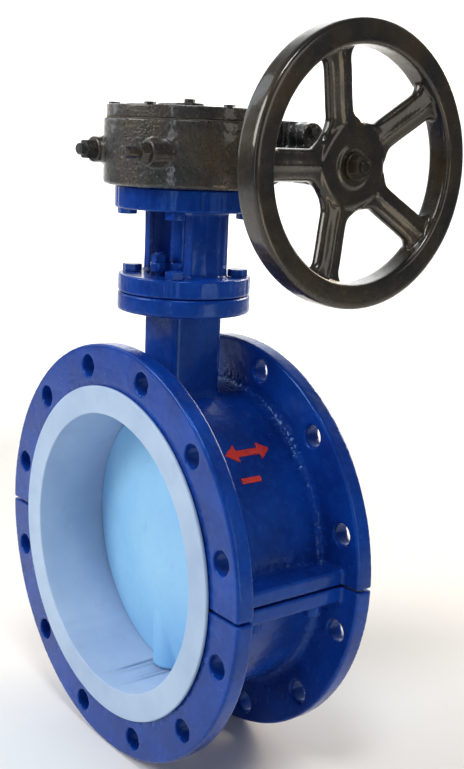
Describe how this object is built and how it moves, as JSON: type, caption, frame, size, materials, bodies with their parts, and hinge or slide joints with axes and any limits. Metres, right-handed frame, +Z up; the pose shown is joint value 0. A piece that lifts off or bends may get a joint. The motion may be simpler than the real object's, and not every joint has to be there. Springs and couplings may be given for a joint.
{
  "type": "double flanged butterfly valve",
  "caption": "Double-flanged lined butterfly valve with a split body, a yoke and a handwheel-driven worm gear operator.",
  "frame": {"origin": "centre of the inlet flange's metal face", "axes": "+Y along the flow from inlet to outlet, +Z up along the stem, +X towards the handwheel"},
  "size_m": [0.445, 0.3223, 0.7714],
  "materials": {
    "blue_paint": "gloss",
    "cast_paint": "gloss",
    "wheel_enamel": "gloss",
    "ptfe_liner": "satin",
    "pfa_skin": "satin",
    "backing_rubber": "matte",
    "bronze": "machined",
    "packing": "matte",
    "gasket": "matte",
    "zinc_steel": "zinc plated",
    "disc_steel": "cast",
    "scale_metal": "satin"
  },
  "bodies": {
    "valve_body": {"body_upper": "blue_paint", "body_lower": "blue_paint", "split_screws": "blue_paint", "seat_liner": "ptfe_liner", "liner_backing": "backing_rubber", "stem_bush_inner": "bronze", "stem_bush_outer": "bronze", "stub_bush": "bronze", "packing_rings": "packing", "gland_follower": "blue_paint", "gland_studs": "zinc_steel", "gland_nuts": "zinc_steel", "yoke": "blue_paint", "yoke_bolts": "blue_paint", "gearbox_bolts": "cast_paint", "gear_housing": "cast_paint", "sector_bush": "bronze", "cover_gasket": "gasket", "gear_cover": "cast_paint", "cover_screws": "cast_paint", "scale_plate": "scale_metal", "worm_bush_inner": "bronze", "worm_bearing_outer": "zinc_steel", "bearing_cap": "cast_paint", "bearing_cap_bolts": "cast_paint", "shaft_seal": "backing_rubber", "stop_screws": "cast_paint", "stop_nuts": "cast_paint"},
    "disc_and_stem": {"disc_core": "disc_steel", "disc_skin": "pfa_skin", "stem": "blue_paint", "lower_stub": "disc_steel", "worm_sector": "bronze", "stem_key": "zinc_steel", "pointer": "cast_paint", "pointer_screw": "cast_paint"},
    "handwheel_drive": {"worm": "bronze", "worm_pin": "zinc_steel", "worm_shaft": "zinc_steel", "handwheel": "wheel_enamel", "wheel_key": "zinc_steel", "wheel_washer": "wheel_enamel", "wheel_nut": "wheel_enamel"}
  },
  "joints": [
    {"name": "stem_turn", "type": "hinge", "parent": "valve_body", "child": "disc_and_stem", "pos_m": [0, 0.085, 0], "axis": [0, 0, 1], "range_deg": [0, 90]},
    {"name": "handwheel_turn", "type": "hinge", "parent": "valve_body", "child": "handwheel_drive", "pos_m": [0, 0.16, 0.413], "axis": [1, 0, 0], "range_deg": [0, 3420]}
  ],
  "couplings": [
    {"joint": "handwheel_turn", "follows": "stem_turn", "ratio": 38}
  ]
}
